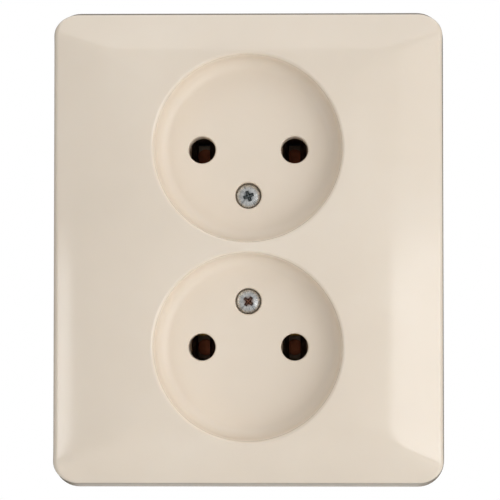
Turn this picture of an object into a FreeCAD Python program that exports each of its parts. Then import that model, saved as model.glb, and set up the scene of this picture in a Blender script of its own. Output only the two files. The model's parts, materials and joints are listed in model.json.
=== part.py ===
import FreeCAD, Part
import math
import os

import Sketcher
from FreeCAD import Placement, Rotation, Vector

# Duplex wall outlet, unearthed, two round dished wells in one moulded cover, on a flush insert for a
# 60 mm round box. Millimetres. X is to the right, Z up, and Y runs into the wall: the wall's face is
# y = 0, the cover stands out towards -Y and the insert reaches back towards +Y. The origin is the
# middle of the line between the two box screws, on the wall's face.

driving = {
    # moulded cover
    "coverWidth": 80.5,        # at the wall
    "coverHeight": 98.0,       # at the wall
    "crownHeight": 11.0,       # how far the flat middle stands off the wall
    "edgeHeight": 8.3,         # how far the outer edge of the slopes stands off the wall
    "skirtDraft": 0.45,        # how much narrower each side of the skirt is at its top
    "edgeBevel": 1.0,          # soft edge between skirt and slopes
    "cornerRadius": 4.5,
    "crownWidth": 45.0,        # flat middle of the front
    "crownLength": 76.0,
    "coverWall": 2.1,
    # dished wells
    "wellPitch": 40.5,
    "wellRadius": 19.2,        # wall of the well at its mouth
    "wellRim": 0.6,            # bevel round the mouth
    "wellFloorRadius": 16.0,   # flat part of the floor
    "wellSweep": 2.8,          # radius between floor and wall
    "floorHeight": 4.5,        # the well's floor, off the wall
    "floorThick": 2.2,
    "wellSteep": 75.0,         # degrees that the sweep turns through
    "bossWall": 2.0,           # moulded wall round each well, behind the front
    # pins
    "pinPitch": 19.0,
    "pinHoleRadius": 2.8,
    "collarWall": 0.8,         # tube behind each pin hole, which shrouds the pin
    "collarDepth": 2.0,        # how far the tubes reach behind the wall's face
    # cover screws and their nuts
    "coverScrewZ": 10.85,      # each screw lies off the middle of the cover
    "screwHoleRadius": 2.7,
    "screwSeat": 0.9,          # the seat of the cover screw's head, off the wall
    "screwBossRadius": 4.2,
    "screwBossDepth": 0.8,     # how far that boss reaches behind the wall's face
    "coverShankRadius": 1.5,
    "coverHeadRadius": 2.4,
    "coverHeadThick": 1.6,
    "coverScrewTip": 12.5,
    "crossLength": 3.0,
    "crossWidth": 0.7,
    "crossDepth": 1.0,
    "nutSide": 5.5,
    "nutThick": 2.4,
    "nutFront": 8.05,
    # support ring
    "ringSize": 71.0,
    "ringThick": 1.0,
    "ringCorner": 8.0,
    "ringLip": 2.5,
    "boxScrewPitch": 60.0,
    "boxSlotRadius": 2.1,
    "boxSlotLength": 5.0,
    "openingWidth": 28.8,
    "openingHeight": 50.4,
    "rivetX": 16.2,
    "rivetZ": 12.0,
    "rivetRadius": 1.0,
    "ringRivetHead": 0.6,
    "ringRivetDepth": 6.0,
    # phenolic base and its lid
    "baseRadius": 27.5,
    "baseHalfWidth": 18.2,
    "baseDepth": 21.0,
    "noseHeight": 2.0,         # the part of the base that stands through the ring
    "noseWidth": 28.4,
    "noseLength": 50.0,
    "noseCorner": 5.0,
    "webBack": 3.5,            # back of the wall in front of the contacts
    "contactRoomWidth": 6.8,
    "contactRoomHeight": 5.8,
    "terminalRoom": 9.8,       # front of the clamp plates' room
    "cheekLength": 9.4,        # the claws turn between pairs of cheeks
    "cheekRoot": 1.0,
    "cheekThick": 1.8,
    "cheekGap": 0.4,
    "cheekDepth": 5.6,
    "lidSeat": 18.2,           # the face that the lid closes on
    "lidGap": 0.2,
    "rimWall": 1.0,
    "postRadius": 2.6,
    "postGap": 0.35,           # post to nut
    "boreStart": 10.0,
    "lidScrewZ": 22.0,
    "lidScrewTip": 11.0,
    "lidScrewHole": 7.5,
    "lidHeadThick": 1.4,
    "lidSlotLength": 4.0,
    "lidSlotWidth": 0.6,
    # contacts
    "clipFront": 3.9,
    "clipMouth": 2.5,          # half gaps between the leaves: where they flare,
    "clipThroat": 1.2,         # where they grip,
    "clipFoot": 2.3,           # and where they stand on the foot
    "throatDepth": 8.0,
    "footDepth": 12.0,
    "leafThick": 0.6,
    "clipWidth": 5.0,
    "rivetHead": 1.7,
    "rivetHeadThick": 0.5,
    "rivetTail": 0.4,
    "barFront": 16.8,
    "barThick": 1.2,
    "barWidth": 5.0,
    "barLength": 45.6,
    # terminals
    "terminalZ": 8.0,
    "terminalShank": 1.75,
    "terminalHead": 2.8,
    "terminalHeadThick": 2.2,
    "terminalTip": 20.8,
    "slotWidth": 0.9,
    "slotDepth": 1.1,
    "plateSide": 6.8,
    "plateThick": 1.2,
    "clampRest": 0.3,          # clamp plate to bar, with no wire in
    "wireHoleRadius": 1.4,
    "wireHoleY": 15.4,
    "wireEntryLength": 5.5,
    # claws
    "clawScrewX": 20.9,
    "pivotX": 24.9,
    "pivotY": 18.4,
    "clawWidth": 8.0,
    "clawThick": 1.6,
    "clawReach": 13.9,
    "clawTooth": 1.2,
    "toothLength": 1.6,
    "notchHalf": 0.8,          # notches between the teeth
    "notchDepth": 1.7,
    "ridgeHeight": 1.0,
    "ridgeFront": 0.9,
    "ridgeBack": 0.7,
    "footLength": 2.0,         # the foot, past the middle of the screw
    "forkLength": 5.0,         # opening for the screw in the foot
    "forkShift": 0.2,
    "curlWall": 0.9,
    "pinRadius": 0.8,
    "clawHead": 3.2,
    "clawHeadThick": 2.1,
    "clawScrewTip": 23.5,
    "clawNutWidth": 4.8,
    "clawNutLength": 7.0,
    # clearances
    "fit": 0.05,               # radial running clearance
    "slack": 0.25,             # radial, round a part that only passes through
    "gap": 0.3,                # between parts that come apart
    "over": 0.1,               # how far a cut starts outside the material
}

doc = FreeCAD.newDocument("duplexOutlet")
dims = doc.addObject("Spreadsheet::Sheet", "dims")
for row, (alias, size) in enumerate(driving.items(), start=1):
    dims.set("A%d" % row, alias)
    dims.set("B%d" % row, str(size))
    dims.setAlias("B%d" % row, alias)
doc.recompute()

intoWall = Rotation(Vector(1, 0, 0), -90)      # turns a primitive's own +Z to +Y
finished = []                                  # the objects that are written, one for each node
corners = [(sideX, sideZ) for sideX in (-1, 1) for sideZ in (-1, 1)]
sideNames = {-1: "left", 1: "right"}
levelNames = {-1: "lower", 1: "upper"}
poleNames = {-1: "live", 1: "neutral"}


def number(text):
    """The value of an expression on the sheet."""
    return float(dims.evalExpression(text))


def keep(obj, label):
    """Names a finished sub-part after its node."""
    obj.Label = label
    finished.append(obj)
    return obj


def bind(obj, **sizes):
    """Binds properties of an object to expressions."""
    for prop, text in sizes.items():
        obj.setExpression(prop.replace("_", "."), text)
    return obj


# Sketches

def sketch(body, name, role="XZ_Plane", lift="0", shiftY="0"):
    """A sketch on one of the body's own planes, lifted along the plane's normal.

    XZ_Plane faces the room, so there a lift is a height off the wall.
    """
    plane = next(p for p in body.Origin.OriginFeatures if p.Role == role)
    made = body.newObject("Sketcher::SketchObject", name)
    made.AttachmentSupport = [(plane, "")]
    made.MapMode = "FlatFace"
    made.setExpression("AttachmentOffset.Base.z", lift)
    made.setExpression("AttachmentOffset.Base.y", shiftY)
    return made


def locate(made, geometry, point, acrossText, upText):
    """Ties one point of a sketch's geometry to two expressions, measured from the sketch's origin."""
    for kind, text in (("DistanceX", acrossText), ("DistanceY", upText)):
        index = made.addConstraint(Sketcher.Constraint(kind, geometry, point, number(text)))
        made.setExpression("Constraints[%d]" % index, text)


def circle(made, radiusText, acrossText="0", upText="0"):
    centre = Vector(number(acrossText), number(upText), 0)
    geometry = made.addGeometry(Part.Circle(centre, Vector(0, 0, 1), number(radiusText)), False)
    index = made.addConstraint(Sketcher.Constraint("Radius", geometry, number(radiusText)))
    made.setExpression("Constraints[%d]" % index, radiusText)
    locate(made, geometry, 3, acrossText, upText)


def outline(made, points, arcs=None):
    """A closed outline through points given as pairs of expressions.

    arcs gives, by the index of the point that it starts from, an arc's middle point and its radius.
    """
    arcs = arcs or {}
    places = [Vector(number(a), number(b), 0) for a, b in points]
    ends = []
    for index, start in enumerate(places):
        end = places[(index + 1) % len(places)]
        startPoint = 1
        if index in arcs:
            across, up, radiusText = arcs[index]
            middle = Vector(number(across), number(up), 0)
            circular = Part.Arc(start, middle, end).toShape().Curve
            if (middle - start).cross(end - middle).z < 0:
                startPoint = 2
            first, last = (start, end) if startPoint == 1 else (end, start)
            angles = [math.atan2(p.y - circular.Center.y, p.x - circular.Center.x) for p in (first, last)]
            angles[1] += 2 * math.pi if angles[1] < angles[0] else 0
            whole = Part.Circle(circular.Center, Vector(0, 0, 1), circular.Radius)
            geometry = made.addGeometry(Part.ArcOfCircle(whole, *angles), False)
            bound = made.addConstraint(Sketcher.Constraint("Radius", geometry, circular.Radius))
            made.setExpression("Constraints[%d]" % bound, radiusText)
        else:
            geometry = made.addGeometry(Part.LineSegment(start, end), False)
        locate(made, geometry, startPoint, *points[index])
        ends.append((geometry, startPoint, 3 - startPoint))
    for (geometry, _, endPoint), (following, startPoint, _) in zip(ends, ends[1:] + ends[:1]):
        made.addConstraint(Sketcher.Constraint("Coincident", geometry, endPoint, following, startPoint))


def rectangle(made, widthText, heightText, acrossText="0", upText="0"):
    left = "%s - (%s) / 2" % (acrossText, widthText)
    right = "%s + (%s) / 2" % (acrossText, widthText)
    low = "%s - (%s) / 2" % (upText, heightText)
    high = "%s + (%s) / 2" % (upText, heightText)
    outline(made, [(left, low), (right, low), (right, high), (left, high)])


def roundedRectangle(made, widthText, heightText, radiusText, acrossText="0"):
    """A rectangle about the sketch's origin, or beside it, with quarter-circle corners."""
    half = {1: "(%s) / 2" % widthText, 2: "(%s) / 2" % heightText}
    slack = "(%s) * %.9f" % (radiusText, 1 - math.sqrt(0.5))
    points = []
    arcs = {}
    for signX, signZ, upFirst in ((1, -1, True), (1, 1, False), (-1, 1, True), (-1, -1, False)):
        alongX = "%s + %d * (%s - (%s))" % (acrossText, signX, half[1], radiusText)
        atX = "%s + %d * %s" % (acrossText, signX, half[1])
        alongZ = "%d * (%s - (%s))" % (signZ, half[2], radiusText)
        atZ = "%d * %s" % (signZ, half[2])
        pair = [(alongX, atZ), (atX, alongZ)]
        arcs[len(points)] = ("%s + %d * (%s - %s)" % (acrossText, signX, half[1], slack),
                             "%d * (%s - %s)" % (signZ, half[2], slack), radiusText)
        points += pair if upFirst else pair[::-1]
    outline(made, points, arcs)


def barrel(made, radiusText, halfWidthText):
    """A disc with its left and right sides cut straight."""
    reach = "sqrt((%s)^2 - (%s)^2)" % (radiusText, halfWidthText)
    points = [(halfWidthText, "-" + reach), (halfWidthText, reach),
              ("-(%s)" % halfWidthText, reach), ("-(%s)" % halfWidthText, "-" + reach)]
    outline(made, points, {1: ("0", radiusText, radiusText), 3: ("0", "-(%s)" % radiusText, radiusText)})


# Features

def newBody(label):
    return keep(doc.addObject("PartDesign::Body", label), label)


def pad(body, made, lengthText, midplane=False):
    """Adds material along the sketch's normal: off a sketch on XZ_Plane it grows towards the room."""
    feature = body.newObject("PartDesign::Pad", made.Name + "Pad")
    feature.Profile = made
    feature.setExpression("Length", lengthText)
    feature.Midplane = midplane
    made.Visibility = False
    body.Tip = feature
    doc.recompute()
    return feature


def pocket(body, made, lengthText, forward=False, midplane=False):
    """Removes material against the sketch's normal, or along it if forward, and tests that it did."""
    before = body.Shape.Volume
    feature = body.newObject("PartDesign::Pocket", made.Name + "Pocket")
    feature.Profile = made
    feature.setExpression("Length", lengthText)
    feature.Reversed = forward
    feature.Midplane = midplane
    body.Tip = feature
    doc.recompute()
    if body.Shape.Volume > before - 1e-3:
        raise RuntimeError("%s removes nothing" % made.Label)
    return feature


def loft(body, kind, sections):
    """A ruled loft through rounded rectangles, each given as (lift, width, height, corner)."""
    sketches = []
    for index, (lift, width, height, corner) in enumerate(sections):
        made = sketch(body, "%sSection%d" % (kind, index), lift=lift)
        roundedRectangle(made, width, height, corner)
        sketches.append(made)
    feature = body.newObject("PartDesign::%sLoft" % kind, kind + "Shell")
    feature.Profile = sketches[0]
    feature.Sections = sketches[1:]
    feature.Ruled = True
    body.Tip = feature
    doc.recompute()
    return feature


# Part primitives

def rod(radiusText, startText, lengthText, acrossText="0", upText="0"):
    """A cylinder along Y that starts at the depth startText."""
    made = doc.addObject("Part::Cylinder", "rod")
    made.Placement = Placement(Vector(), intoWall)
    return bind(made, Radius=radiusText, Height=lengthText, Placement_Base_x=acrossText,
                Placement_Base_y=startText, Placement_Base_z=upText)


def block(sizeTexts, centreTexts):
    """A box given by its three sizes and its middle."""
    made = doc.addObject("Part::Box", "block")
    corner = ["%s - (%s) / 2" % pair for pair in zip(centreTexts, sizeTexts)]
    return bind(made, Length=sizeTexts[0], Width=sizeTexts[1], Height=sizeTexts[2],
                Placement_Base_x=corner[0], Placement_Base_y=corner[1], Placement_Base_z=corner[2])


def fuse(*shapes):
    made = doc.addObject("Part::MultiFuse", "joined")
    made.Shapes = list(shapes)
    return made


def cut(base, tool):
    made = doc.addObject("Part::Cut", "cut")
    made.Base = base
    made.Tool = tool
    return made


def group(label, shapes):
    """Several separate solids in one node."""
    made = doc.addObject("Part::Compound", label)
    made.Links = shapes
    return keep(made, label)


def screw(head, shank, seat, tip, headThick, across, up, crossed=False):
    """A screw along Y: its head stands off the seat towards the room, with a slot or a cross in it."""
    top = "%s - (%s)" % (seat, headThick)
    shaft = rod(shank, seat, "%s - (%s)" % (tip, seat), across, up)
    solid = fuse(rod(head, top, headThick, across, up), shaft)
    if crossed:
        middle = (across, "%s + dims.crossDepth / 2" % top, up)
        recess = fuse(block(("dims.crossLength", "dims.crossDepth", "dims.crossWidth"), middle),
                      block(("dims.crossWidth", "dims.crossDepth", "dims.crossLength"), middle))
    else:
        recess = block(("2 * %s + 1" % head, "dims.slotDepth", "dims.slotWidth"),
                       (across, "%s + dims.slotDepth / 2" % top, up))
    return cut(solid, recess)


# The moulded cover

def makeCover():
    body = newBody("cover_plate")
    inWall = "2 * dims.coverWall"
    draft = "2 * dims.skirtDraft"
    bevel = "2 * dims.edgeBevel"
    loft(body, "Additive", [
        ("0", "dims.coverWidth", "dims.coverHeight", "dims.cornerRadius"),
        ("dims.edgeHeight - dims.edgeBevel", "dims.coverWidth - " + draft, "dims.coverHeight - " + draft,
         "dims.cornerRadius"),
        ("dims.edgeHeight", "dims.coverWidth - %s - %s" % (draft, bevel),
         "dims.coverHeight - %s - %s" % (draft, bevel), "dims.cornerRadius - dims.edgeBevel / 2"),
        ("dims.crownHeight", "dims.crownWidth", "dims.crownLength", "dims.cornerRadius / 3"),
    ])
    innerCorner = "dims.cornerRadius - dims.coverWall"
    loft(body, "Subtractive", [
        ("0", "dims.coverWidth - " + inWall, "dims.coverHeight - " + inWall, innerCorner),
        ("dims.edgeHeight - dims.coverWall", "dims.coverWidth - %s - %s" % (inWall, draft),
         "dims.coverHeight - %s - %s" % (inWall, draft), innerCorner),
        ("dims.crownHeight - dims.coverWall", "dims.crownWidth", "dims.crownLength", "dims.cornerRadius / 3"),
    ])
    floorBack = "dims.floorHeight - dims.floorThick"
    for level in (-1, 1):
        wellZ = "%d * dims.wellPitch / 2" % level
        wall = sketch(body, "wellWall" + levelNames[level], lift=floorBack)
        circle(wall, "dims.wellRadius + dims.bossWall", "0", wellZ)
        pad(body, wall, "dims.crownHeight - dims.coverWall / 2 - (%s)" % floorBack)
        boss = sketch(body, "screwBoss" + levelNames[level], lift="-dims.screwBossDepth")
        circle(boss, "dims.screwBossRadius", "0", "%d * dims.coverScrewZ" % level)
        pad(body, boss, "dims.screwBossDepth + dims.floorHeight - dims.floorThick / 2")
    collars = sketch(body, "pinCollars", lift="-dims.collarDepth")
    pins = sketch(body, "pinHoles", lift="dims.floorHeight + dims.over")
    for sideX, sideZ in corners:
        poleX = "%d * dims.pinPitch / 2" % sideX
        wellZ = "%d * dims.wellPitch / 2" % sideZ
        circle(collars, "dims.pinHoleRadius + dims.collarWall", poleX, wellZ)
        circle(pins, "dims.pinHoleRadius", poleX, wellZ)
    pad(body, collars, "dims.collarDepth + dims.floorHeight - dims.floorThick / 2")
    for level in (-1, 1):
        cutWell(body, level)
    pocket(body, pins, "dims.floorHeight + dims.collarDepth + 2 * dims.over")
    recess = sketch(body, "screwRecesses", lift="dims.floorHeight + dims.over")
    bore = sketch(body, "screwBores", lift="dims.screwSeat + dims.over")
    for level in (-1, 1):
        circle(recess, "dims.screwHoleRadius", "0", "%d * dims.coverScrewZ" % level)
        circle(bore, "dims.coverShankRadius + dims.slack", "0", "%d * dims.coverScrewZ" % level)
    pocket(body, recess, "dims.floorHeight - dims.screwSeat + dims.over")
    pocket(body, bore, "dims.screwSeat + dims.screwBossDepth + 2 * dims.over")


def cutWell(body, level):
    """A dished well: flat floor, a sweep, a steep wall and a bevelled rim, turned about its own axis."""
    made = sketch(body, "wellProfile" + levelNames[level], role="YZ_Plane",
                  shiftY="%d * dims.wellPitch / 2" % level)
    steep = number("dims.wellSteep")
    sweepDepth = "-dims.floorHeight - dims.wellSweep * (1 - %s)"
    sweepRadius = "dims.wellFloorRadius + dims.wellSweep * %s"
    turned = [("%.9f" % math.cos(math.radians(a)), "%.9f" % math.sin(math.radians(a)))
              for a in (steep / 2, steep)]
    points = [
        ("-dims.crownHeight - 1", "0"),
        ("-dims.floorHeight", "0"),
        ("-dims.floorHeight", "dims.wellFloorRadius"),
        (sweepDepth % turned[1][0], sweepRadius % turned[1][1]),
        ("-dims.crownHeight + dims.wellRim", "dims.wellRadius"),
        ("-dims.crownHeight - 0.01", "dims.wellRadius + dims.wellRim"),
        ("-dims.crownHeight - 1", "dims.wellRadius + dims.wellRim"),
    ]
    outline(made, points, {2: (sweepDepth % turned[0][0], sweepRadius % turned[0][1], "dims.wellSweep")})
    before = body.Shape.Volume
    feature = body.newObject("PartDesign::Groove", "well" + levelNames[level])
    feature.Profile = made
    feature.ReferenceAxis = (made, ["H_Axis"])
    feature.Angle = 360
    body.Tip = feature
    doc.recompute()
    if body.Shape.Volume > before - 1e-3:
        raise RuntimeError("the well removes nothing")


def makeCoverScrews():
    for level in (-1, 1):
        up = "%d * dims.coverScrewZ" % level
        made = screw("dims.coverHeadRadius", "dims.coverShankRadius", "-dims.screwSeat - dims.fit",
                     "dims.coverScrewTip", "dims.coverHeadThick", "0", up, crossed=True)
        keep(made, "cover_screw_" + levelNames[level])
    nuts = []
    for level in (-1, 1):
        up = "%d * dims.coverScrewZ" % level
        body = block(("dims.nutSide", "dims.nutThick", "dims.nutSide"),
                     ("0", "dims.nutFront + dims.nutThick / 2", up))
        bore = rod("dims.coverShankRadius + dims.fit", "dims.nutFront - 1", "dims.nutThick + 2", "0", up)
        nuts.append(cut(body, bore))
    group("cover_nuts", nuts)


# The insert

def makeRing():
    """Galvanised plate that lies on the wall, with stiffening lips along its left and right edges."""
    body = newBody("support_ring")
    plate = sketch(body, "ringPlate")
    roundedRectangle(plate, "dims.ringSize", "dims.ringSize", "dims.ringCorner")
    pad(body, plate, "dims.ringThick")
    lips = sketch(body, "ringLips")
    for side in (-1, 1):
        rectangle(lips, "dims.ringThick", "dims.ringSize - 2 * dims.ringCorner",
                  "%d * (dims.ringSize - dims.ringThick) / 2" % side)
    pad(body, lips, "dims.ringThick + dims.ringLip")
    holes = sketch(body, "ringHoles", lift="dims.ringThick + dims.over")
    roundedRectangle(holes, "dims.openingWidth", "dims.openingHeight", "dims.noseCorner")
    for side in (-1, 1):
        circle(holes, "dims.terminalShank + dims.slack", "%d * dims.clawScrewX" % side)
        roundedRectangle(holes, "dims.boxSlotLength + 2 * dims.boxSlotRadius", "2 * dims.boxSlotRadius",
                         "dims.boxSlotRadius - 0.01", "%d * dims.boxScrewPitch / 2" % side)
    for sideX, sideZ in corners:
        circle(holes, "dims.rivetRadius + dims.fit", "%d * dims.rivetX" % sideX, "%d * dims.rivetZ" % sideZ)
    pocket(body, holes, "dims.ringThick + 2 * dims.over")


def makeRingRivets():
    rivets = []
    for sideX, sideZ in corners:
        across = "%d * dims.rivetX" % sideX
        up = "%d * dims.rivetZ" % sideZ
        head = rod("2 * dims.rivetRadius", "-dims.ringThick - dims.ringRivetHead", "dims.ringRivetHead",
                   across, up)
        shank = rod("dims.rivetRadius", "-dims.ringThick", "dims.ringThick + dims.ringRivetDepth", across, up)
        rivets.append(fuse(head, shank))
    group("ring_rivets", rivets)


def makeBase():
    """Phenolic block: a barrel behind the wall, a nose through the ring, and cheeks for the claws."""
    body = newBody("socket_base")
    barrelOutline = sketch(body, "barrelOutline", lift="-dims.baseDepth")
    barrel(barrelOutline, "dims.baseRadius", "dims.baseHalfWidth")
    pad(body, barrelOutline, "dims.baseDepth")
    nose = sketch(body, "noseOutline")
    roundedRectangle(nose, "dims.noseWidth", "dims.noseLength", "dims.noseCorner")
    pad(body, nose, "dims.noseHeight")
    cheeks = sketch(body, "cheekOutlines", lift="-dims.baseDepth")
    for sideX, sideZ in corners:
        rectangle(cheeks, "dims.cheekLength", "dims.cheekThick",
                  "%d * (dims.baseHalfWidth - dims.cheekRoot + dims.cheekLength / 2)" % sideX,
                  "%d * (dims.clawWidth / 2 + dims.cheekGap + dims.cheekThick / 2)" % sideZ)
    pad(body, cheeks, "dims.cheekDepth")
    recess = sketch(body, "lidRecess", lift="-dims.baseDepth")
    barrel(recess, "dims.baseRadius - dims.rimWall", "dims.baseHalfWidth - dims.rimWall")
    pocket(body, recess, "dims.baseDepth - dims.lidSeat", forward=True)
    bars = sketch(body, "barChannels", lift="-dims.lidSeat")
    for side in (-1, 1):
        rectangle(bars, "dims.barWidth + 2 * dims.over", "dims.barLength + 2 * dims.over",
                  "%d * dims.pinPitch / 2" % side)
    pocket(body, bars, "dims.lidSeat - dims.barFront", forward=True)
    contacts = sketch(body, "contactPockets", lift="-dims.lidSeat")
    terminals = sketch(body, "terminalPockets", lift="-dims.lidSeat")
    front = "dims.noseHeight + dims.over"
    pinHoles = sketch(body, "frontPinHoles", lift=front)
    collars = sketch(body, "collarRecesses", lift=front)
    drivers = sketch(body, "driverHoles", lift=front)
    rivets = sketch(body, "rivetHoles", lift="dims.over")
    for sideX, sideZ in corners:
        poleX = "%d * dims.pinPitch / 2" % sideX
        wellZ = "%d * dims.wellPitch / 2" % sideZ
        terminalZ = "%d * dims.terminalZ" % sideZ
        rectangle(contacts, "dims.contactRoomWidth", "dims.contactRoomHeight", poleX, wellZ)
        plateRoom = "dims.plateSide + 2 * dims.gap"
        rectangle(terminals, plateRoom, plateRoom, poleX, terminalZ)
        circle(pinHoles, "dims.pinHoleRadius + dims.over", poleX, wellZ)
        circle(collars, "dims.pinHoleRadius + dims.collarWall + dims.gap", poleX, wellZ)
        circle(drivers, "dims.terminalHead + dims.gap + dims.over", poleX, terminalZ)
        circle(rivets, "dims.rivetRadius", "%d * dims.rivetX" % sideX, "%d * dims.rivetZ" % sideZ)
    pocket(body, contacts, "dims.lidSeat - dims.webBack", forward=True)
    pocket(body, terminals, "dims.lidSeat - dims.terminalRoom", forward=True)
    pocket(body, pinHoles, "dims.noseHeight + dims.webBack + 2 * dims.over")
    pocket(body, collars, "dims.noseHeight + dims.collarDepth + dims.gap + dims.over")
    pocket(body, drivers, "dims.noseHeight + dims.terminalRoom + 2 * dims.over")
    pocket(body, rivets, "dims.ringRivetDepth + 2 * dims.over")
    nuts = sketch(body, "nutChannels", lift="-dims.lidSeat")
    shanks = sketch(body, "shankBores", lift=front)
    bosses = sketch(body, "bossRecesses", lift=front)
    lidScrews = sketch(body, "lidScrewHoles", lift="-dims.lidSeat")
    for level in (-1, 1):
        screwZ = "%d * dims.coverScrewZ" % level
        rectangle(nuts, "dims.nutSide + 4 * dims.over", "dims.nutSide + 4 * dims.over", "0", screwZ)
        circle(shanks, "dims.coverShankRadius + dims.gap + dims.over", "0", screwZ)
        circle(bosses, "dims.screwBossRadius + 2 * dims.slack", "0", screwZ)
        circle(lidScrews, "dims.coverShankRadius", "0", "%d * dims.lidScrewZ" % level)
    pocket(body, nuts, "dims.lidSeat - dims.nutFront + dims.fit", forward=True)
    pocket(body, shanks, "dims.noseHeight + dims.nutFront + 2 * dims.over")
    pocket(body, bosses, "dims.noseHeight + dims.screwBossDepth + dims.gap + dims.over")
    pocket(body, lidScrews, "dims.lidScrewHole", forward=True)
    for side in (-1, 1):
        wires = sketch(body, "wireEntries" + sideNames[side], role="YZ_Plane",
                       lift="%d * (dims.baseHalfWidth + dims.over)" % side)
        for level in (-1, 1):
            circle(wires, "dims.wireHoleRadius", "dims.wireHoleY", "%d * dims.terminalZ" % level)
        pocket(body, wires, "dims.wireEntryLength + dims.over", forward=side < 0)
    pivots = sketch(body, "pivotHoles", role="XY_Plane")
    for side in (-1, 1):
        circle(pivots, "dims.pinRadius + dims.fit / 2", "%d * dims.pivotX" % side, "dims.pivotY")
    pocket(body, pivots, "dims.clawWidth + 2 * dims.cheekGap + 2 * dims.cheekThick + 1", midplane=True)


def makeLid():
    """Closes the back of the base; two hollow posts hold the nuts of the cover screws."""
    body = newBody("rear_lid")
    plate = sketch(body, "lidOutline", lift="-dims.baseDepth")
    inner = "dims.rimWall + dims.lidGap"
    barrel(plate, "dims.baseRadius - (%s)" % inner, "dims.baseHalfWidth - (%s)" % inner)
    pad(body, plate, "dims.baseDepth - dims.lidSeat - dims.over")
    posts = sketch(body, "nutPosts", lift="-dims.lidSeat - 2 * dims.over")
    bores = sketch(body, "postBores", lift="-dims.boreStart")
    screws = sketch(body, "lidScrewBores", lift="-dims.boreStart")
    heads = sketch(body, "lidScrewHeads", lift="-dims.baseDepth - dims.over")
    for level in (-1, 1):
        screwZ = "%d * dims.coverScrewZ" % level
        lidZ = "%d * dims.lidScrewZ" % level
        circle(posts, "dims.postRadius", "0", screwZ)
        circle(bores, "dims.coverShankRadius + dims.gap", "0", screwZ)
        circle(screws, "dims.coverShankRadius + dims.slack", "0", lidZ)
        circle(heads, "dims.coverHeadRadius + dims.gap + dims.over", "0", lidZ)
    tips = sketch(body, "terminalTips", lift="-dims.boreStart")
    seats = sketch(body, "rivetSeats", lift="-dims.boreStart")
    for sideX, sideZ in corners:
        poleX = "%d * dims.pinPitch / 2" % sideX
        circle(tips, "dims.terminalShank + dims.gap + dims.over", poleX, "%d * dims.terminalZ" % sideZ)
        circle(seats, "dims.rivetHead + dims.gap", poleX, "%d * dims.wellPitch / 2" % sideZ)
    pad(body, posts, "dims.lidSeat + 2 * dims.over - dims.nutFront - dims.nutThick - dims.postGap")
    through = "dims.baseDepth - dims.boreStart + 1"
    for bored in (bores, screws, tips):
        pocket(body, bored, through)
    pocket(body, heads, "dims.lidHeadThick + 2 * dims.over", forward=True)
    pocket(body, seats, "dims.barFront + dims.barThick + 2 * dims.rivetTail - dims.boreStart")


def makeLidScrews():
    """Two short screws, put in from behind, their heads sunk in the lid."""
    screws = []
    for level in (-1, 1):
        up = "%d * dims.lidScrewZ" % level
        head = rod("dims.coverHeadRadius", "dims.baseDepth - dims.lidHeadThick - dims.fit",
                   "dims.lidHeadThick", "0", up)
        shank = rod("dims.coverShankRadius - dims.fit / 2", "dims.lidScrewTip",
                    "dims.baseDepth - dims.lidScrewTip - dims.lidHeadThick / 2", "0", up)
        slot = block(("dims.lidSlotLength", "dims.lidSlotWidth", "dims.lidSlotWidth"),
                     ("0", "dims.baseDepth - dims.slack", up))
        screws.append(cut(fuse(head, shank), slot))
    group("lid_screws", screws)


# Contacts and terminals

def makeBusbars():
    for side in (-1, 1):
        across = "%d * dims.pinPitch / 2" % side
        bar = block(("dims.barWidth", "dims.barThick", "dims.barLength"),
                    (across, "dims.barFront + dims.barThick / 2", "0"))
        holes = []
        for level in (-1, 1):
            holes.append(rod("dims.terminalShank + dims.fit", "dims.barFront - 1", "dims.barThick + 2", across,
                             "%d * dims.terminalZ" % level))
            holes.append(rod("dims.rivetRadius + dims.fit", "dims.barFront - 1", "dims.barThick + 2", across,
                             "%d * dims.wellPitch / 2" % level))
        keep(cut(bar, fuse(*holes)), poleNames[side] + "_busbar")


def makeContacts():
    """A sprung brass clip behind each pin hole: two leaves, flared, then bowed in, on a flat foot."""
    foot = "dims.barFront - dims.leafThick"
    inner = [("dims.clipMouth", "dims.clipFront"), ("dims.clipThroat", "dims.throatDepth"),
             ("dims.clipFoot", "dims.footDepth"), ("dims.clipFoot", foot)]
    outer = [("dims.leafThick + " + gap, depth) for gap, depth in inner[:3]]
    outer.append(("dims.leafThick + dims.clipFoot", "dims.barFront"))
    leaf = outer[::-1] + inner
    for sideX, sideZ in corners:
        label = "%s_contact_%s" % (poleNames[sideX], levelNames[sideZ])
        body = newBody(label)
        made = sketch(body, label + "Profile", role="XY_Plane", lift="%d * dims.wellPitch / 2" % sideZ)
        centre = "%d * dims.pinPitch / 2" % sideX
        right = [("%s + %s" % (centre, offset), depth) for offset, depth in leaf]
        left = [("%s - (%s)" % (centre, offset), depth) for offset, depth in leaf[::-1]]
        outline(made, right + left)
        pad(body, made, "dims.clipWidth", midplane=True)
        hole = sketch(body, label + "Rivet", lift="-dims.barFront + 2")
        circle(hole, "dims.rivetRadius + dims.fit", centre, "%d * dims.wellPitch / 2" % sideZ)
        pocket(body, hole, "dims.leafThick + 2")
    rivets = []
    front = foot + " - dims.rivetHeadThick"
    shank = "dims.barThick + dims.leafThick + dims.rivetHeadThick + dims.rivetTail"
    for sideX, sideZ in corners:
        across = "%d * dims.pinPitch / 2" % sideX
        up = "%d * dims.wellPitch / 2" % sideZ
        head = rod("dims.rivetHead", front, "dims.rivetHeadThick", across, up)
        tail = rod("dims.rivetHead", "dims.barFront + dims.barThick", "dims.rivetTail", across, up)
        rivets.append(fuse(head, rod("dims.rivetRadius", front, shank, across, up), tail))
    group("contact_rivets", rivets)


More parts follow.
